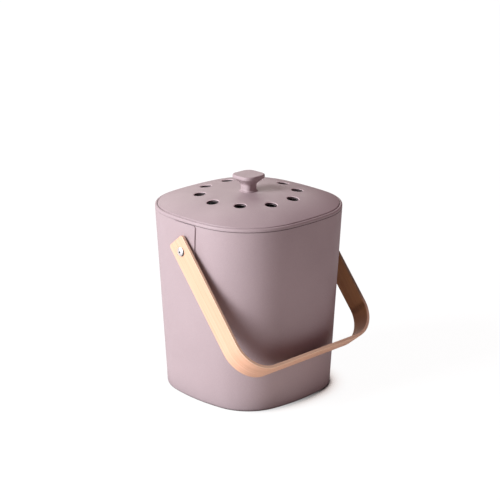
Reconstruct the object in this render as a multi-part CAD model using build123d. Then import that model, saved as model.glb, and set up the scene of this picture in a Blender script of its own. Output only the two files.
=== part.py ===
from build123d import *
from math import asin, atan2, cos, degrees, pi, sin, sqrt
import os

# Countertop compost bin: moulded bin, vented lid with a knob and a filter tray, bent strap handle.
# Millimetres, +Z up. The origin is the centre of the base, on the surface that the bin stands on.
# The handle turns about an axis along X and hangs against the front wall, which faces -Y.

# Bin
bin_height = 200.0
bin_top_half = 91.5        # centre to the middle of a side, at the rim
bin_base_half = 79.8       # the same, at the base
bin_top_corner = 69.0      # corner radius seen from above, at the rim
bin_base_corner = 50.0
bin_top_bow = 0.9          # how far the middle of a side stands out from a straight side
bin_base_bow = 2.2
bin_wall = 3.2
floor_thickness = 3.6
base_round = 3.5
inner_round = 6.0
foot_width = 7.0           # flat ring that the bin stands on
foot_recess = 1.2
rim_round = 0.4            # outer edge of the rim, at the seam under the lid

# Raised pads that carry the pivots
pivot_drop = 30.0          # below the rim
pad_stand = 1.3            # proud of the wall
pad_top_half = 16.2
pad_top_corner = 2.0
pad_top_gap = 0.5          # top of the pad below the rim
pad_round = 0.4
pad_low_radius = 12.9      # round lower end, about the pivot
pivot_boss_radius = 8.2    # upright seat for the spacer, on the sloping pad
pivot_boss_round = 0.4

# Handle: one bamboo strap bent to a U
strap_width = 24.4
strap_thickness = 3.4
strap_reach = 145.5        # pivot to the inner face of the grip
strap_bend = 32.0          # inner radius of the two bends
strap_end = 13.6           # beyond the pivot
strap_end_round = 3.0
strap_edge_round = 0.6
strap_rest_gap = 0.35      # grip to the front wall, at rest
strap_play = 0.05          # each side of the strap at a pivot

# Pivot hardware
screw_radius = 2.5
screw_play = 0.05
screw_head_radius = 4.9
screw_head_height = 1.7
screw_head_edge = 0.5
socket_width = 2.0         # across flats
socket_depth = 0.9
spacer_radius = 7.0
spacer_thickness = 1.0
washer_radius = 6.2
washer_thickness = 1.2
washer_seat_play = 0.8
washer_seat_depth = 0.2    # least depth of the flat seat in the inner wall
nut_width = 8.0            # across flats
nut_height = 4.2
nut_dome = 2.6
nut_dome_step = 0.2        # flat left round the foot of the dome
nut_dome_edge = 0.3
nut_bore_depth = 4.8
nut_end_gap = 0.5

# Lid
lid_overhang = 0.0
lid_edge_height = 3.6
bead_width = 2.2
bead_round = 1.6           # outer edge of the bead
bead_inner_round = 0.3
lid_seam_round = 0.4       # lower outer edge
crease_width = 0.6
crease_depth = 0.7
shoulder_height = 1.4      # upright edge of the dome, from the floor of the crease
shoulder_round = 0.8
dome_height = 11.9         # from the shoulder to the crown
dome_power = 3.2           # how much fuller than a cone the pillow shape is
dome_steps = 6             # stretches of the loft from the edge to the crown
dome_spread = 1.3          # above 1, the stretches are shorter near the edge
knob_seat_half = 12.0      # flat on the crown
lid_wall = 2.6
skirt_depth = 8.0
skirt_wall = 2.2
skirt_gap = 0.4
vent_count = 10
vent_diameter = 12.5
vent_ring_radius = 52.0
vent_lip_round = 0.7       # both edges of each vent

# Knob
knob_width = 29.4
knob_corner = 9.0
knob_height = 18.4
cap_height = 3.6
cap_top_round = 1.5
cap_lower_round = 1.2
flare_height = 6.5         # sloping underside, from the neck out to the edge of the cap
neck_width = 14.3
neck_corner = 4.4
neck_round = 3.5           # concave sweep from the neck to the slope
knob_foot_flare = 1.6
knob_foot_height = 0.8
knob_foot_round = 1.2
knob_screw_radius = 2.0
knob_screw_play = 0.05
knob_screw_depth = 11.0    # into the knob
knob_screw_end_gap = 1.0
knob_screw_head_radius = 3.6
knob_screw_head_height = 2.2
knob_screw_head_edge = 0.7
knob_washer_radius = 6.5
knob_washer_thickness = 1.0

# Filter and its tray, in a round boss under the lid
tray_radius = 69.7
tray_gap = 0.3
tray_wall = 2.2
tray_height = 8.0
tray_floor = 1.6
boss_wall = 2.4
boss_drop = 3.0            # end of the boss, below the rim
slot_count = 12
slot_width = 5.0
slot_inner_radius = 20.0
slot_outer_radius = 58.0
tab_length = 26.0
tab_thickness = 2.6
tab_depth = 7.0
tab_round = 2.5
filter_gap = 0.3
filter_thickness = 7.0
filter_round = 0.8

# Places that follow from the sizes above
bin_taper = (bin_top_half - bin_base_half) / bin_height
pivot_z = bin_height - pivot_drop
pad_x = bin_top_half + pad_stand
strap_inner_x = pad_x + spacer_thickness + strap_play
screw_seat_x = strap_inner_x + strap_thickness + strap_play
washer_seat_x = bin_top_half - bin_wall - bin_taper * (pivot_drop - washer_radius) + washer_seat_depth
nut_seat_x = washer_seat_x - washer_thickness
lid_half = bin_top_half + lid_overhang
lid_corner = bin_top_corner + lid_overhang
crease_z = bin_height + lid_edge_height - crease_depth
shoulder_z = crease_z + shoulder_height
crown_z = shoulder_z + dome_height
dome_half = lid_half - bead_width - crease_width
knob_z = crown_z - dome_height * (knob_seat_half / dome_half) ** dome_power
skirt_z = bin_height - skirt_depth
boss_z = bin_height - boss_drop
boss_radius = tray_radius + tray_gap
inside_x = bin_base_half / 2     # in the open cavity, where the cuts through the walls start
nearly = 0.01                    # how closely an edge has to lie to be picked


def rest_angle():
    """Angle from straight down to the hanging arms when the grip lies against the front wall."""
    half_width = strap_width / 2
    along = strap_reach + bin_taper * half_width
    across = bin_taper * strap_reach - half_width
    stop = bin_base_half + bin_taper * pivot_z + strap_rest_gap
    return asin(stop / sqrt(along**2 + across**2)) - atan2(across, along)


def rounded_square(half, corner, bow, z):
    """Square outline with bowed sides and large tangent corners, as a face at height z."""
    side_length = half - corner
    side_radius = (side_length**2 + bow**2) / (2 * bow)
    side_centre = half - side_radius
    reach = side_radius - corner
    corner_centre = (side_centre + sqrt(2 * reach**2 - side_centre**2)) / 2
    turn = atan2(corner_centre, corner_centre - side_centre)
    end = (side_centre + side_radius * cos(turn), side_radius * sin(turn))
    tip = corner_centre + corner / sqrt(2)
    side = ThreePointArc((end[0], -end[1]), (half, 0), end)
    bend = ThreePointArc(end, (tip, tip), (end[1], end[0]))
    outline = [Rot(0, 0, 90 * quarter) * edge for quarter in range(4) for edge in (side, bend)]
    return Pos(0, 0, z) * make_face(outline)


def bin_outline(z, inset=0.0):
    """Outline of the tapered bin at height z, moved inwards by inset."""
    share = z / bin_height
    half = bin_base_half + (bin_top_half - bin_base_half) * share
    corner = bin_base_corner + (bin_top_corner - bin_base_corner) * share
    bow = bin_base_bow + (bin_top_bow - bin_base_bow) * share
    return rounded_square(half - inset, corner - inset, bow, z)


def lid_outline(half, z):
    """The lid's outline, shrunk towards the centre to this half width."""
    share = half / lid_half
    return rounded_square(half, lid_corner * share, bin_top_bow * share, z)


def dome_z(half):
    """Height of the lid's outer face where its outline has this half width."""
    return crown_z - dome_height * (half / dome_half) ** dome_power


def dome(widest, lowered):
    """Solid under the crown, from its widest outline up to the flat that seats the knob."""
    shares = [(step / dome_steps) ** dome_spread for step in range(dome_steps + 1)]
    halves = [widest + (knob_seat_half - widest) * share for share in shares]
    return loft([lid_outline(half, dome_z(half) - lowered) for half in halves])


def disc(radius, start, end):
    """Cylinder about Z from one height to another."""
    return Pos(0, 0, (start + end) / 2) * Cylinder(radius, abs(end - start))


def button(radius, edge, height):
    """Disc on z = 0 with a straight edge and a spherical top."""
    rise = height - edge
    ball = (radius**2 + rise**2) / (2 * rise)
    return disc(radius, 0, height) & (Pos(0, 0, height - ball) * Sphere(ball))


def hexagon(width, start, end):
    """Six-sided prism about Z, measured across its flats."""
    return Pos(0, 0, start) * extrude(RegularPolygon(width / 2, 6, major_radius=False), end - start)


def square(width, corner, z):
    """Square with rounded corners about Z, as a face at height z."""
    return Pos(0, 0, z) * RectangleRounded(width, width, corner)


def block(width, corner, start, end):
    """Upright square block with rounded corners, about Z."""
    return extrude(square(width, corner, start), end - start)


def outwards(side, x):
    """Frame on the pivot axis at distance x from the middle, with Z pointing out to this side."""
    return Pos(side * x, 0, pivot_z) * Rot(0, 90 * side, 0)


def level_edges(shape, z):
    """Edges that lie flat at this height."""
    return shape.edges().filter_by_position(Axis.Z, z - nearly, z + nearly)


def edge_reach(edge):
    """How far an edge stands out from the Z axis, along X or Y."""
    box = edge.bounding_box()
    return max(-box.min.X, box.max.X, -box.min.Y, box.max.Y)


def pivot_pad(side):
    """Tongue on a side wall: its flanks run from below the rim to a round end about the pivot."""
    rise = pivot_drop - pad_top_gap
    reach = sqrt(pad_top_half**2 + rise**2)
    swing = atan2(rise, pad_top_half) - (pi / 2 - asin(pad_low_radius / reach))
    flank = (pad_low_radius * cos(swing), pad_low_radius * sin(swing))
    outline = [
        Line((-pad_top_half, rise), (pad_top_half, rise)),
        Line((pad_top_half, rise), flank),
        ThreePointArc(flank, (0, -pad_low_radius), (-flank[0], flank[1])),
        Line((-flank[0], flank[1]), (-pad_top_half, rise)),
    ]
    face = Plane(origin=(side * bin_base_half, 0, pivot_z), x_dir=(0, side, 0), z_dir=(side, 0, 0))
    pad = extrude(face * make_face(outline), pad_x - bin_base_half)
    pad = fillet(pad.edges().filter_by(Axis.X).group_by(Axis.Z)[-1], pad_top_corner)
    pad &= loft([bin_outline(0, -pad_stand), bin_outline(bin_height, -pad_stand)], ruled=True)
    outer_face = pad.faces().sort_by(Axis.X)[-1 if side > 0 else 0]
    pad = fillet(outer_face.edges(), pad_round)
    boss = disc(pivot_boss_radius, inside_x, pad_x)
    boss = fillet(level_edges(boss, pad_x), pivot_boss_round)
    return pad + outwards(side, 0) * boss


def make_bin_body():
    body = loft([bin_outline(0), bin_outline(bin_height)], ruled=True)
    body = fillet(level_edges(body, 0), base_round)
    body = fillet(level_edges(body, bin_height), rim_round)
    body += [pivot_pad(side) for side in (-1, 1)]
    cavity = loft([bin_outline(floor_thickness, bin_wall), bin_outline(bin_height, bin_wall)], ruled=True)
    body -= fillet(level_edges(cavity, floor_thickness), inner_round)
    body -= extrude(bin_outline(0, base_round + foot_width), foot_recess)
    for side in (-1, 1):
        body -= outwards(side, 0) * disc(washer_radius + washer_seat_play, inside_x, washer_seat_x)
        body -= outwards(side, 0) * disc(screw_radius + screw_play, inside_x, strap_inner_x)
    return body


def make_handle_strap():
    """The strap lies in its own plane: X across the bin, Y from the pivots towards the grip."""
    middle_x = strap_inner_x + strap_thickness / 2
    middle_y = strap_reach + strap_thickness / 2
    corners = [(-middle_x, -strap_end), (-middle_x, middle_y), (middle_x, middle_y), (middle_x, -strap_end)]
    path = FilletPolyline(*corners, radius=strap_bend + strap_thickness / 2)
    strap = extrude(trace(path, strap_thickness), strap_width / 2, both=True)
    ends = strap.edges().filter_by_position(Axis.Y, -strap_end - nearly, -strap_end + nearly)
    strap = fillet(ends.filter_by(Axis.X), strap_end_round)
    across = strap.edges().filter_by(Axis.Z).filter_by_position(Axis.Y, 0, middle_y + strap_thickness)
    seams = strap.edges().filter_by(Axis.X).filter_by_position(Axis.Y, -strap_end, 0)
    strap = fillet(strap.edges() - across - seams, strap_edge_round)
    strap -= Rot(0, 90, 0) * Cylinder(screw_radius + screw_play, 2 * screw_seat_x)
    angle = rest_angle()
    plane = Plane(origin=(0, 0, pivot_z), x_dir=(1, 0, 0), z_dir=(0, cos(angle), -sin(angle)))
    return plane * strap


def make_pivot_screw(side):
    end_x = nut_seat_x - nut_bore_depth + nut_end_gap
    head = button(screw_head_radius, screw_head_edge, screw_head_height)
    head -= hexagon(socket_width, screw_head_height - socket_depth, screw_head_height)
    return outwards(side, screw_seat_x) * (head + disc(screw_radius, end_x - screw_seat_x, 0))


def make_spacer(side):
    """Washer between the strap and the pad."""
    ring = disc(spacer_radius, 0, spacer_thickness)
    ring -= disc(screw_radius + screw_play, 0, spacer_thickness)
    return outwards(side, pad_x) * ring


def make_inner_washer(side):
    ring = disc(washer_radius, -washer_thickness, 0) - disc(screw_radius + screw_play, -washer_thickness, 0)
    return outwards(side, washer_seat_x) * ring


def make_cap_nut(side):
    """Domed nut inside the bin: its bore opens outwards, towards the washer."""
    nut = hexagon(nut_width, 0, nut_height)
    nut += Pos(0, 0, nut_height) * button(nut_width / 2 - nut_dome_step, nut_dome_edge, nut_dome)
    nut -= disc(screw_radius + screw_play, 0, nut_bore_depth)
    return outwards(side, nut_seat_x) * Rot(180, 0, 0) * nut


def vent_centres():
    turns = [360 / vent_count * index for index in range(vent_count)]
    return [Vector(vent_ring_radius, 0, 0).rotate(Axis.Z, turn) for turn in turns]


def is_vent_lip(edge):
    """Whether this edge runs round a vent, where it comes out through the dome or under it."""
    spots = [edge.position_at(share) for share in (0, 0.5, 1)]
    for centre in vent_centres():
        reaches = [sqrt((spot.X - centre.X) ** 2 + (spot.Y - centre.Y) ** 2) for spot in spots]
        if all(abs(reach - vent_diameter / 2) < nearly for reach in reaches):
            return edge.geom_type != GeomType.LINE
    return False


def make_lid():
    plate = extrude(lid_outline(lid_half, bin_height), lid_edge_height)
    plate = fillet(level_edges(plate, bin_height), lid_seam_round)
    plate = fillet(level_edges(plate, bin_height + lid_edge_height), bead_round)
    plate -= extrude(lid_outline(lid_half - bead_width, crease_z), crease_depth)
    bead_top = plate.faces().sort_by(Axis.Z)[-1]
    plate = fillet(bead_top.inner_wires()[0].edges(), bead_inner_round)
    skirt_half = bin_top_half - bin_taper * skirt_depth - bin_wall - skirt_gap
    inner_half = skirt_half - skirt_wall
    skirt = extrude(lid_outline(skirt_half, skirt_z), skirt_depth)
    crown = extrude(lid_outline(dome_half, crease_z), shoulder_height) + dome(dome_half, 0)
    crown = fillet(level_edges(crown, shoulder_z), shoulder_round)
    well = extrude(lid_outline(inner_half, skirt_z), dome_z(inner_half) - lid_wall - skirt_z)
    hollow = well + dome(inner_half, lid_wall)
    ring = disc(boss_radius + boss_wall, boss_z, crown_z) - disc(boss_radius, boss_z, crown_z)
    lid = plate + crown + skirt - hollow + (ring & (hollow + crown))
    lid -= [Pos(centre) * disc(vent_diameter / 2, boss_z, crown_z) for centre in vent_centres()]
    lid = fillet(lid.edges().filter_by(is_vent_lip), vent_lip_round)
    return lid - disc(knob_screw_radius + knob_screw_play, boss_z, crown_z)


def make_lid_knob():
    top = knob_z + knob_height
    cap_z = top - cap_height
    foot_z = knob_z + knob_foot_height
    knob = block(neck_width + 2 * knob_foot_flare, neck_corner + knob_foot_flare, knob_z, foot_z)
    neck_z = cap_z - flare_height
    knob += block(neck_width, neck_corner, knob_z, neck_z)
    knob += loft([square(neck_width, neck_corner, neck_z), square(knob_width, knob_corner, cap_z)], ruled=True)
    knob += block(knob_width, knob_corner, cap_z, top)
    neck_side = neck_width / 2 + nearly
    knob = fillet(level_edges(knob, neck_z), neck_round)
    on_foot = level_edges(knob, foot_z).filter_by(lambda edge: edge_reach(edge) < neck_side)
    knob = fillet(on_foot, knob_foot_round)
    knob = fillet(level_edges(knob, top), cap_top_round)
    knob = fillet(level_edges(knob, cap_z), cap_lower_round)
    return knob - disc(knob_screw_radius + knob_screw_play, knob_z, knob_z + knob_screw_depth)


def make_knob_washer():
    top = knob_z - lid_wall
    ring = disc(knob_washer_radius, top - knob_washer_thickness, top)
    return ring - disc(knob_screw_radius + knob_screw_play, top - knob_washer_thickness, top)


def make_knob_screw():
    """Round-headed screw, up through the washer and the lid into the knob."""
    seat = knob_z - lid_wall - knob_washer_thickness
    head = button(knob_screw_head_radius, knob_screw_head_edge, knob_screw_head_height)
    shank = disc(knob_screw_radius, seat, knob_z + knob_screw_depth - knob_screw_end_gap)
    return Pos(0, 0, seat) * Rot(180, 0, 0) * head + shank


def make_filter_tray():
    floor_z = boss_z - tray_floor
    tray = disc(boss_radius + boss_wall, floor_z, boss_z) + disc(tray_radius, boss_z, boss_z + tray_height)
    tray -= disc(tray_radius - tray_wall, boss_z, boss_z + tray_height)
    slot_length = slot_outer_radius - slot_inner_radius
    slot = extrude(SlotCenterToCenter(slot_length, slot_width), tray_floor)
    for index in range(slot_count):
        turned = Rot(0, 0, 360 / slot_count * (index + 0.5))
        tray -= turned * Pos(slot_inner_radius + slot_length / 2, 0, floor_z) * slot
    tab = Pos(0, 0, floor_z - tab_depth / 2) * Box(tab_length, tab_thickness, tab_depth)
    tab = fillet(level_edges(tab, floor_z - tab_depth).filter_by(Axis.Y), tab_round)
    return tray + tab


def make_filter_pad():
    pad = disc(tray_radius - tray_wall - filter_gap, boss_z, boss_z + filter_thickness)
    return fillet(pad.edges().filter_by(GeomType.CIRCLE), filter_round)


PIECES = {
    "bin_body": make_bin_body(),
    "handle_strap": make_handle_strap(),
    "lid": make_lid(),
    "lid_knob": make_lid_knob(),
    "knob_washer": make_knob_washer(),
    "knob_screw": make_knob_screw(),
    "filter_tray": make_filter_tray(),
    "filter_pad": make_filter_pad(),
}
for word, side in (("left", -1), ("right", 1)):
    PIECES[f"pivot_screw_{word}"] = make_pivot_screw(side)
    PIECES[f"strap_spacer_{word}"] = make_spacer(side)
    PIECES[f"inner_washer_{word}"] = make_inner_washer(side)
    PIECES[f"cap_nut_{word}"] = make_cap_nut(side)

os.makedirs("parts", exist_ok=True)
for name, shape in PIECES.items():
    export_step(shape, f"parts/{name}.step")
    print(f"{name}: {shape.volume:.0f} mm3")
print(f"handle hangs {degrees(rest_angle()):.2f} degrees from straight down")
print(f"handle travel {360 - 2 * degrees(rest_angle()):.2f} degrees")
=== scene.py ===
"""Countertop compost bin: looks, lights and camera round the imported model. Metres, +Z up."""

from math import atan2, copysign, cos, hypot, pi, radians, sin

import bpy
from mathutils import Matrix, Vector, noise


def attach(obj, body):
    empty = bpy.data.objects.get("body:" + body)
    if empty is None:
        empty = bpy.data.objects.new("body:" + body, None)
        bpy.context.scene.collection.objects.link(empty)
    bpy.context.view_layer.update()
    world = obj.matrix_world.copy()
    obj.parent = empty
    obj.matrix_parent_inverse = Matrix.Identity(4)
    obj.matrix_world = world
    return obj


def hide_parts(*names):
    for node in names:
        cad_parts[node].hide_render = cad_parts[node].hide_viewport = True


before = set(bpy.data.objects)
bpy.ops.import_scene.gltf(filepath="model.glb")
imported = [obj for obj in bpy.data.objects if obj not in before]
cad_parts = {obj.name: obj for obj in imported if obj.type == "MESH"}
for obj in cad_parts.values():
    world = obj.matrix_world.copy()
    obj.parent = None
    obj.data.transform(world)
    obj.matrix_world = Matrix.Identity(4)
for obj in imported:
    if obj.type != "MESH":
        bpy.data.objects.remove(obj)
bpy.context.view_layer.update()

# The handle's centreline, where the part's source has it
pivot = Vector((0, 0, 0.170))
lean = radians(39.47)
arm_axis = Vector((0, -sin(lean), -cos(lean)))
width_axis = Vector((0, cos(lean), -sin(lean)))
arm_x = 0.09555
grip_reach = 0.1472
bend_radius = 0.0337

# The name of the strap's own coordinates, along the band, across its width and through its thickness
grain_name = "grain"

# Where the bamboo changes colour in them, each from where the change sets in to where it is full
node_along = 0.1105
node_ring = (0.0015, 0.0055)
held_grip = (0.045, 0.065)
right_arm = (0.10, 0.125)
cut_edge = (0.0115, 0.0121)
inner_face = (-0.0015, -0.0009)

# Where painted shade falls on a pivot screw's head: the radius of its socket and of its rim, and towards
# its front
socket_edge = (0.0010, 0.0013)
head_rim = (0.0035, 0.0041)
head_front = (-0.0005, -0.0025)

# The painted shade line at the rim, where the lid meets the bin: its height and half height, where it
# fades in the lit back half, and which faces are level
rim_height = 0.200
seam_edge = (0.0003, 0.0005)
seam_lit_fade = (0.0, 0.03)
level_face = (0.75, 0.95)

# How far from the axis the vents reach
vent_edge = (0.065, 0.066)

# How much of the plastic's colour stays: in the painted shade line, where it fades in the lit back half,
# on the vents' walls in painted shade and on their lips in a painted highlight
painted_seam_share = 0.28
lit_seam_share = 0.80
wall_shade_share = 0.20
lip_highlight_share = 2.0

# Colours of the plastics
white = (1, 1, 1)
mauve_colour = (0.42, 0.33, 0.345)
tray_colour = (0.20, 0.155, 0.165)
nylon_colour = (0.78, 0.76, 0.72)

# The filter pad's place in the tray
pad_radius = 0.0672
pad_low = 0.197
pad_high = 0.204
pad_round = 0.0022

# How finely the pad is divided round, across and over its rounded rim, and how uneven its top is
pad_turns = 144
pad_spokes = 20
pad_bends = 6
pad_waves = 160
pad_uneven = 0.00045
pad_sag = 0.0004
pad_dip = 0.0002

# The floor, how far the bin's contact shadow reaches, and between which X it sets in
floor_reach = 12
floor_height = -0.0001
contact_reach = 0.03
contact_side = (-0.07, 0.04)

# The glowing pool on the floor before the bin, a painted pool of light for other surfaces, as the scale
# and shift that turn it into a unit ball
pool_scale = (6.5, 9, 1)
pool_shift = (0.42, 1.6, 0)

# Where the lights look, and from how far
light_target = Vector((0, 0, 0.1))
light_distance = 3.0

# Where the camera looks, and from where
aim = Vector((0.0010, -0.0010, 0.1500))
view_back = Vector((-0.66560, -0.67990, 0.30779))
camera_distance = 1.7316
focal_mm = 116.5
sensor_mm = 36
far_clip = 100


def grey(value):
    return (value, value, value)


def scaled(colour, factor):
    return tuple(min(1, factor * value) for value in colour)


def feed(tree, value, socket):
    """Sets a number or a colour on a socket, or links another node's output to it."""
    if isinstance(value, (int, float)):
        socket.default_value = value
    elif isinstance(value, tuple):
        socket.default_value = (*value, 1)
    else:
        tree.links.new(value, socket)


def node_of(tree, kind, feeds):
    """A node whose named or numbered inputs are fed."""
    node = tree.nodes.new(kind)
    for socket, value in feeds.items():
        feed(tree, value, node.inputs[socket])
    return node


def shader_of(tree, kind, feeds):
    """The shader that a node gives."""
    return node_of(tree, kind, feeds).outputs[0]


def empty_tree(owner, output_kind):
    """The owner's node tree, emptied, with its output node."""
    owner.use_nodes = True
    tree = owner.node_tree
    tree.nodes.clear()
    return tree, tree.nodes.new(output_kind)


def new_material(name):
    """A material with its node tree and one principled shader."""
    material = bpy.data.materials.new(name)
    tree, output = empty_tree(material, "ShaderNodeOutputMaterial")
    shader = tree.nodes.new("ShaderNodeBsdfPrincipled")
    tree.links.new(shader.outputs["BSDF"], output.inputs["Surface"])
    return material, tree, shader


def show_to_camera(tree, output, seen, unseen):
    """Gives one shader to the camera and another to every other ray."""
    ray = tree.nodes.new("ShaderNodeLightPath")
    choice = shader_of(tree, "ShaderNodeMixShader", {0: ray.outputs["Is Camera Ray"], 1: unseen, 2: seen})
    tree.links.new(choice, output.inputs["Surface"])


def place_of(tree, scale=(1, 1, 1), shift=(0, 0, 0), attribute=None):
    """Coordinates in metres, stretched and shifted: of the object, or of a named attribute."""
    if attribute:
        source = tree.nodes.new("ShaderNodeAttribute")
        source.attribute_name = attribute
        place = source.outputs["Vector"]
    else:
        place = tree.nodes.new("ShaderNodeTexCoord").outputs["Object"]
    mapping = tree.nodes.new("ShaderNodeMapping")
    mapping.inputs["Scale"].default_value = scale
    mapping.inputs["Location"].default_value = shift
    tree.links.new(place, mapping.inputs["Vector"])
    return mapping.outputs["Vector"]


def facing_of(tree):
    """The direction that the surface faces, in the object's frame."""
    return tree.nodes.new("ShaderNodeTexCoord").outputs["Normal"]


def noise_of(tree, place, scale, detail=2, roughness=0.5, distortion=0.0):
    feeds = {
        "Vector": place,
        "Scale": scale,
        "Detail": detail,
        "Roughness": roughness,
        "Distortion": distortion,
    }
    return node_of(tree, "ShaderNodeTexNoise", feeds).outputs["Fac"]


def fibre_noise(tree, scale, detail=2, roughness=0.5):
    """Noise in the strap's own coordinates. The scale is in waves a metre, low along the band."""
    place = place_of(tree, scale, attribute=grain_name)
    return noise_of(tree, place, scale=1, detail=detail, roughness=roughness)


def ramp_of(tree, factor, stops):
    """A colour ramp through (place, colour) stops."""
    node = node_of(tree, "ShaderNodeValToRGB", {"Fac": factor})
    elements = node.color_ramp.elements
    for element, (position, colour) in zip(elements, (stops[0], stops[-1])):
        element.position = position
        element.color = (*colour, 1)
    for position, colour in stops[1:-1]:
        elements.new(position).color = (*colour, 1)
    return node.outputs["Color"]


def range_of(tree, factor, low, high, start=0.3, end=0.7):
    """A number that goes from low to high as the factor goes from start to end."""
    feeds = {"Value": factor, "From Min": start, "From Max": end, "To Min": low, "To Max": high}
    return node_of(tree, "ShaderNodeMapRange", feeds).outputs["Result"]


def rising(tree, factor, start, end):
    """A number that goes from 0 to 1 as the factor goes from start to end."""
    return range_of(tree, factor, 0.0, 1.0, start, end)


def mix_of(tree, factor, first, second, blend="MIX"):
    """Two colours mixed. A mix node has its colours in inputs 6 and 7 and its result in output 2."""
    node = tree.nodes.new("ShaderNodeMix")
    node.data_type = "RGBA"
    node.blend_type = blend
    for slot, value in ((0, factor), (6, first), (7, second)):
        feed(tree, value, node.inputs[slot])
    return node.outputs[2]


def multiplied(tree, first, second, amount=1.0):
    """The first colour times the second, as far as the amount says."""
    return mix_of(tree, amount, first, second, "MULTIPLY")


def bump_of(tree, height, distance, normal=None):
    node = node_of(tree, "ShaderNodeBump", {"Height": height, "Distance": distance, "Strength": 1.0})
    if normal:
        tree.links.new(normal, node.inputs["Normal"])
    return node.outputs["Normal"]


def math_of(tree, operation, *values):
    node = node_of(tree, "ShaderNodeMath", dict(enumerate(values)))
    node.operation = operation
    return node.outputs["Value"]


def radius_of(tree, across, shift=(0, 0, 0)):
    """The distance from an axis: across is 1 for the two directions that count and 0 along the axis."""
    reach = tree.nodes.new("ShaderNodeVectorMath")
    reach.operation = "LENGTH"
    tree.links.new(place_of(tree, across, shift), reach.inputs[0])
    return reach.outputs["Value"]


def along_axis(tree, place, axis, start, end):
    """A number that rises from 0 to 1 along one axis."""
    parts = node_of(tree, "ShaderNodeSeparateXYZ", {"Vector": place})
    return rising(tree, parts.outputs[axis], start, end)


def outside_band(tree, place, axis, centre, near, far):
    """A number that is 0 within a band across one axis and rises to 1 outside it."""
    parts = node_of(tree, "ShaderNodeSeparateXYZ", {"Vector": place})
    offset = math_of(tree, "SUBTRACT", parts.outputs[axis], centre)
    return rising(tree, math_of(tree, "ABSOLUTE", offset), near, far)


def seam_shade(tree, coloured, place, colour):
    """Paints a shade line at the rim, on faces that aren't level, and fainter in the lit back half."""
    lit_back = along_axis(tree, place, "Y", *seam_lit_fade)
    painted_line = mix_of(tree, lit_back, scaled(colour, painted_seam_share), scaled(colour, lit_seam_share))
    beside = outside_band(tree, place, "Z", rim_height, *seam_edge)
    level = outside_band(tree, facing_of(tree), "Z", 0.0, *level_face)
    return mix_of(tree, math_of(tree, "MAXIMUM", beside, level), painted_line, coloured)


def vent_shade(tree, coloured):
    """Paints shade on the upright walls of the vents and a highlight on their lips, inside the ring they
    lie in.
    """
    outside = rising(tree, radius_of(tree, (1, 1, 0)), *vent_edge)
    flatness = outside_band(tree, facing_of(tree), "Z", 0.0, 0.0, 1.0)
    wall_shade, lip_highlight = grey(wall_shade_share), grey(lip_highlight_share)
    shade = ramp_of(tree, flatness, [(0.3, wall_shade), (0.55, lip_highlight), (0.84, lip_highlight), (0.93, white)])
    return mix_of(tree, outside, multiplied(tree, coloured, shade), coloured)


def moulded_plastic(name, colour, roughness, seam=False, vents=False):
    """Satin plastic with a fine spark-eroded grain, a faint swirl of pigment and uneven gloss."""
    material, tree, shader = new_material(name)
    place = place_of(tree)
    swirl = noise_of(tree, place, scale=14, detail=4, distortion=0.6)
    fleck = noise_of(tree, place, scale=900)
    uneven = noise_of(tree, place, scale=45, detail=3)
    pigment = ramp_of(tree, swirl, [(0.3, scaled(colour, 0.965)), (0.7, scaled(colour, 1.035))])
    speck = ramp_of(tree, fleck, [(0.35, grey(0.95)), (0.65, white)])
    coloured = multiplied(tree, pigment, speck)
    # Painted shade line in the seam at the rim
    if seam:
        coloured = seam_shade(tree, coloured, place, colour)
    # Painted shade on the vents' walls and a painted highlight on their lips
    if vents:
        coloured = vent_shade(tree, coloured)
    feed(tree, coloured, shader.inputs["Base Color"])
    gloss = range_of(tree, uneven, low=roughness - 0.04, high=roughness + 0.05)
    feed(tree, gloss, shader.inputs["Roughness"])
    normal = bump_of(tree, noise_of(tree, place, scale=2600), distance=0.00004)
    normal = bump_of(tree, noise_of(tree, place, scale=22, detail=1), distance=0.00012, normal=normal)
    feed(tree, normal, shader.inputs["Normal"])
    shader.inputs["Specular IOR Level"].default_value = 0.4
    return material


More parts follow.
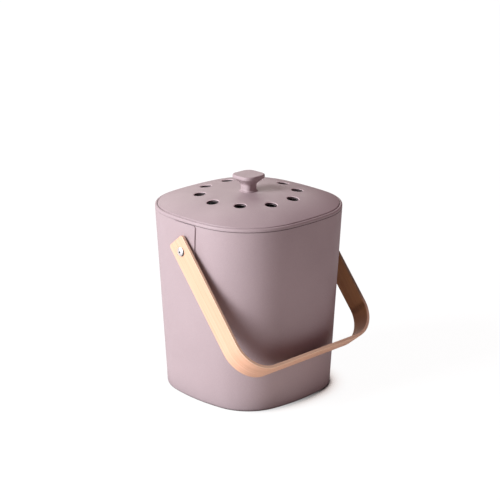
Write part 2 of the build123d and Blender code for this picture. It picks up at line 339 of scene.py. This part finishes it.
def bamboo(name):
    """Bent bamboo: long fibres, darker strands, a node ring in the right arm and a thin coat of oil."""
    material, tree, shader = new_material(name)
    streak = fibre_noise(tree, (5, 620, 620), detail=4, roughness=0.6)
    strand = fibre_noise(tree, (16, 2400, 2400))
    broad = fibre_noise(tree, (9, 60, 60))
    ragged = fibre_noise(tree, (90, 900, 900))
    dark_wood, wood, pale_wood = (0.77, 0.425, 0.265), (0.87, 0.51, 0.35), (0.92, 0.56, 0.40)
    fibres = ramp_of(tree, streak, [(0.25, dark_wood), (0.5, wood), (0.75, pale_wood)])
    thread = ramp_of(tree, strand, [(0.3, (0.84, 0.80, 0.74)), (0.62, white)])
    patch = ramp_of(tree, broad, [(0.3, (0.94, 0.92, 0.89)), (0.7, white)])
    coloured = multiplied(tree, multiplied(tree, fibres, thread, amount=0.8), patch)

    # The inner face, browner in the grip where hands hold it
    grain = place_of(tree, attribute=grain_name)
    inner_tint, held_tint = (0.66, 0.62, 0.42), (0.36, 0.33, 0.27)
    inner, held = multiplied(tree, coloured, inner_tint), multiplied(tree, coloured, held_tint)
    inner = mix_of(tree, outside_band(tree, grain, "X", 0.0, *held_grip), held, inner)
    coloured = mix_of(tree, along_axis(tree, grain, "Z", *inner_face), inner, coloured)

    # The mottled ring of the cane's node
    dark_mottle, pale_mottle = (0.30, 0.25, 0.22), (0.95, 0.92, 0.88)
    ring = multiplied(tree, coloured, mix_of(tree, ragged, dark_mottle, pale_mottle))
    coloured = mix_of(tree, outside_band(tree, grain, "X", node_along, *node_ring), ring, coloured)

    # The cut edges, paler than the faces as a painted highlight, and darker up the right arm as painted
    # shade
    cut_highlight, cut_shade = (0.95, 0.69, 0.48), (0.28, 0.19, 0.12)
    cut_colour = mix_of(tree, along_axis(tree, grain, "X", *right_arm), cut_highlight, cut_shade)
    coloured = mix_of(tree, outside_band(tree, grain, "Y", 0.0, *cut_edge), coloured, cut_colour)

    feed(tree, coloured, shader.inputs["Base Color"])
    feed(tree, range_of(tree, streak, low=0.40, high=0.52), shader.inputs["Roughness"])
    feed(tree, bump_of(tree, strand, distance=0.00006), shader.inputs["Normal"])
    shader.inputs["Coat Weight"].default_value = 0.12
    shader.inputs["Coat Roughness"].default_value = 0.3
    return material


def head_shades(tree, tint, shift):
    """Paints shade into the socket of a screw that lies along X, and onto the front side of its rim."""
    radius = radius_of(tree, (0, 1, 1), shift)
    tint = mix_of(tree, rising(tree, radius, *socket_edge), grey(0.04), tint)
    front = along_axis(tree, place_of(tree), "Y", *head_front)
    shaded = math_of(tree, "MULTIPLY", rising(tree, radius, *head_rim), front)
    return mix_of(tree, shaded, tint, (0.10, 0.095, 0.09))


def turned_steel(name, along, shift, shade, roughness, head=False):
    """Stainless steel with the fine rings that turning leaves round the given axis."""
    material, tree, shader = new_material(name)
    feeds = {"Vector": place_of(tree, shift=shift), "Scale": 900, "Distortion": 0.6, "Detail": 2}
    rings = node_of(tree, "ShaderNodeTexWave", feeds)
    rings.wave_type = "RINGS"
    rings.rings_direction = along
    smudge = noise_of(tree, place_of(tree), scale=260, detail=3)
    tint = ramp_of(tree, smudge, [(0.3, grey(0.95 * shade)), (0.7, grey(1.05 * shade))])
    # Painted shade in the head's socket and on the front of its rim
    if head:
        tint = head_shades(tree, tint, shift)
    feed(tree, tint, shader.inputs["Base Color"])
    polish = range_of(tree, smudge, low=roughness - 0.05, high=roughness + 0.05)
    feed(tree, polish, shader.inputs["Roughness"])
    feed(tree, bump_of(tree, rings.outputs["Fac"], distance=0.000004), shader.inputs["Normal"])
    shader.inputs["Metallic"].default_value = 1.0
    return material


def needled_felt(name):
    """Charcoal felt: matted fibres in every direction, with a few paler ones on top."""
    material, tree, shader = new_material(name)
    place = place_of(tree)
    mat = noise_of(tree, place, scale=700, detail=5, roughness=0.7, distortion=2.5)
    clump = noise_of(tree, place, scale=130, detail=3)
    fibre = ramp_of(tree, mat, [(0.35, grey(0.006)), (0.6, grey(0.012)), (0.8, grey(0.03))])
    shade = ramp_of(tree, clump, [(0.3, grey(0.7)), (0.7, white)])
    feed(tree, multiplied(tree, fibre, shade), shader.inputs["Base Color"])
    feed(tree, range_of(tree, clump, low=0.88, high=1.0), shader.inputs["Roughness"])
    feed(tree, bump_of(tree, mat, distance=0.0006), shader.inputs["Normal"])
    shader.inputs["Sheen Weight"].default_value = 0.05
    shader.inputs["Sheen Roughness"].default_value = 0.5
    return material


def floor_material(name):
    """White sweep: a white glow to the camera with a painted soft contact shadow; to bounced light pale
    and matt, with a faint glow that is strongest in a pool before the bin.
    """
    material = bpy.data.materials.new(name)
    tree, output = empty_tree(material, "ShaderNodeOutputMaterial")
    hidden = node_of(tree, "ShaderNodeAmbientOcclusion", {"Distance": contact_reach})
    hidden.samples = 16
    openness = hidden.outputs["AO"]

    # What other surfaces get from the floor, a matt bounce and a faint glow: less from its corner under
    # the bin, where shade is painted in, most from the glowing pool
    corner = ramp_of(tree, openness, [(0.5, grey(0)), (0.7, grey(0.15)), (0.95, white)])
    matt = shader_of(tree, "ShaderNodeBsdfDiffuse", {"Color": multiplied(tree, corner, grey(0.55))})
    pool = node_of(tree, "ShaderNodeTexGradient", {"Vector": place_of(tree, pool_scale, pool_shift)})
    pool.gradient_type = "SPHERICAL"
    strength = range_of(tree, pool.outputs["Fac"], low=0.14, high=0.68, start=0.0, end=0.6)
    warm = multiplied(tree, corner, (1.0, 0.96, 0.88))
    faint = shader_of(tree, "ShaderNodeEmission", {"Color": warm, "Strength": strength})
    bounced = shader_of(tree, "ShaderNodeAddShader", {0: matt, 1: faint})

    # What the camera sees: white, with the contact shadow
    stops = [
        (0.50, (0.01, 0.007, 0.006)),
        (0.55, (0.42, 0.35, 0.33)),
        (0.61, (0.75, 0.69, 0.67)),
        (0.72, (0.94, 0.91, 0.90)),
        (0.88, white),
    ]
    contact = ramp_of(tree, openness, stops)
    contact = mix_of(tree, along_axis(tree, place_of(tree), "X", *contact_side), white, contact)
    glow = shader_of(tree, "ShaderNodeEmission", {"Color": contact, "Strength": 0.95})
    dim = shader_of(tree, "ShaderNodeBsdfDiffuse", {"Color": grey(0.10)})
    seen = shader_of(tree, "ShaderNodeAddShader", {0: dim, 1: glow})
    show_to_camera(tree, output, seen, bounced)
    return material


def link(obj):
    bpy.context.scene.collection.objects.link(obj)
    return obj


def dress(obj, material):
    obj.data.materials.clear()
    obj.data.materials.append(material)


def grain_place(point):
    """A point of the strap as (along the band, across its width, through its thickness)."""
    arm = point - pivot
    across = abs(arm.x)
    reach = arm.dot(arm_axis)
    grip_half = arm_x - bend_radius
    arm_end = grip_reach - bend_radius
    if reach <= arm_end:
        along = grip_half + bend_radius * pi / 2 + arm_end - reach
        depth = across - arm_x
    elif across <= grip_half:
        along = across
        depth = reach - grip_reach
    else:
        along = grip_half + bend_radius * atan2(across - grip_half, reach - arm_end)
        depth = hypot(across - grip_half, reach - arm_end) - bend_radius
    return copysign(along, arm.x), arm.dot(width_axis), depth


def bent_strap():
    """The strap with its own coordinates along the band, so that the fibres follow its bends."""
    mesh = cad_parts["handle_strap"].data.copy()
    strap = link(bpy.data.objects.new("bamboo_strap", mesh))
    grain = mesh.attributes.new(grain_name, "FLOAT_VECTOR", "POINT")
    for vertex in mesh.vertices:
        grain.data[vertex.index].vector = grain_place(vertex.co)
    return strap


def pad_profile():
    """The felt's outline as (radius, height), from its underside round its rim to its top."""
    flat = pad_radius - pad_round
    spokes = [step / pad_spokes * flat for step in range(1, pad_spokes)]
    profile = [(radius, pad_low) for radius in spokes]
    for middle, start in ((pad_low + pad_round, -pi / 2), (pad_high - pad_round, 0.0)):
        for step in range(pad_bends + 1):
            swing = start + step / pad_bends * pi / 2
            profile.append((flat + pad_round * cos(swing), middle + pad_round * sin(swing)))
    return profile + [(radius, pad_high) for radius in reversed(spokes)]


def felt_pad():
    """A soft disc of felt: rounded at the rim, a little uneven on top, with a matted surface."""
    profile = pad_profile()
    points = []
    for radius, height in profile:
        for turn in range(pad_turns):
            angle = 2 * pi * turn / pad_turns
            spot = Vector((radius * cos(angle), radius * sin(angle), height))
            if height > pad_low + pad_round:
                rough = 0.5 + 0.5 * noise.noise(spot * pad_waves)
                spot.z -= pad_uneven * rough + pad_sag * (radius / pad_radius) ** 4
            points.append(spot)
    under_middle = len(points)
    top_middle = under_middle + 1
    points.append(Vector((0, 0, pad_low)))
    points.append(Vector((0, 0, pad_high - pad_dip)))
    faces = []
    last_ring = (len(profile) - 1) * pad_turns
    for turn in range(pad_turns):
        after = (turn + 1) % pad_turns
        for low in range(0, last_ring, pad_turns):
            high = low + pad_turns
            faces.append((low + turn, low + after, high + after, high + turn))
        faces.append((under_middle, after, turn))
        faces.append((top_middle, last_ring + turn, last_ring + after))
    mesh = bpy.data.meshes.new("felt_pad")
    mesh.from_pydata(points, [], faces)
    mesh.validate()
    mesh.shade_smooth()
    return link(bpy.data.objects.new("felt_pad", mesh))


def white_floor():
    """A flat square just under the bin."""
    square = ((-1, -1), (1, -1), (1, 1), (-1, 1))
    corners = [(x * floor_reach, y * floor_reach, floor_height) for x, y in square]
    mesh = bpy.data.meshes.new("floor")
    mesh.from_pydata(corners, [], [(0, 1, 2, 3)])
    return link(bpy.data.objects.new("floor", mesh))


def area_light(name, turn, rise, width, height, power, colour):
    """A soft box that faces the target, turned from -X towards +Y and raised, both in degrees."""
    data = bpy.data.lights.new(name, "AREA")
    data.shape = "RECTANGLE"
    data.size = width
    data.size_y = height
    data.energy = power
    data.color = colour
    turn, rise = radians(turn), radians(rise)
    way = Vector((-cos(turn) * cos(rise), sin(turn) * cos(rise), sin(rise)))
    light = link(bpy.data.objects.new(name, data))
    light.location = light_target + way * light_distance
    light.rotation_euler = way.to_track_quat("Z", "Y").to_euler()


# Materials of the nodes that keep their own shape
mauve = moulded_plastic("mauve_plastic", mauve_colour, roughness=0.50, seam=True)
mauve_lid = moulded_plastic("mauve_lid", mauve_colour, roughness=0.50, seam=True, vents=True)
dark_mauve = moulded_plastic("tray_plastic", tray_colour, roughness=0.45)
nylon = moulded_plastic("natural_nylon", nylon_colour, roughness=0.42)
pivot_steel = turned_steel("pivot_steel", "X", tuple(-pivot), shade=0.90, roughness=0.40, head=True)
knob_steel = turned_steel("knob_steel", "Z", (0, 0, 0), shade=0.70, roughness=0.27)
finishes = {
    "bin_body": mauve,
    "lid": mauve_lid,
    "lid_knob": mauve,
    "filter_tray": dark_mauve,
    "knob_screw": knob_steel,
    "knob_washer": knob_steel,
}
for side in ("left", "right"):
    finishes["strap_spacer_" + side] = nylon
    for part in ("pivot_screw_", "inner_washer_", "cap_nut_"):
        finishes[part + side] = pivot_steel
for node, material in finishes.items():
    dress(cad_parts[node], material)

# The strap
strap = bent_strap()
dress(strap, bamboo("bent_bamboo"))
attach(strap, "handle")
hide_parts("handle_strap")

# The filter
pad = felt_pad()
dress(pad, needled_felt("charcoal_felt"))
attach(pad, "filter")
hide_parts("filter_pad")

# Floor
floor = white_floor()
dress(floor, floor_material("white_sweep"))

# Light: a tall soft box at the left, a square one behind the bin, a dim room and a white backdrop
area_light("key_light", turn=18, rise=25, width=1.2, height=2.1, power=141, colour=(0.97, 1.0, 1.036))
area_light("back_light", turn=123, rise=31, width=2.0, height=2.0, power=24, colour=(1.0, 1.0, 0.93))
world = bpy.data.worlds.new("studio")
sky, sky_output = empty_tree(world, "ShaderNodeOutputWorld")
backdrop = shader_of(sky, "ShaderNodeBackground", {"Color": white, "Strength": 1.05})
room = shader_of(sky, "ShaderNodeBackground", {"Color": (1.0, 0.64, 0.69), "Strength": 0.255})
show_to_camera(sky, sky_output, backdrop, room)
bpy.context.scene.world = world

# Camera
lens = bpy.data.cameras.new("camera")
lens.sensor_width = sensor_mm
lens.lens = focal_mm
lens.clip_end = far_clip
camera = link(bpy.data.objects.new("camera", lens))
camera.location = aim + view_back.normalized() * camera_distance
camera.rotation_euler = view_back.to_track_quat("Z", "Y").to_euler()
bpy.context.scene.camera = camera
bpy.context.scene.view_settings.view_transform = "Standard"
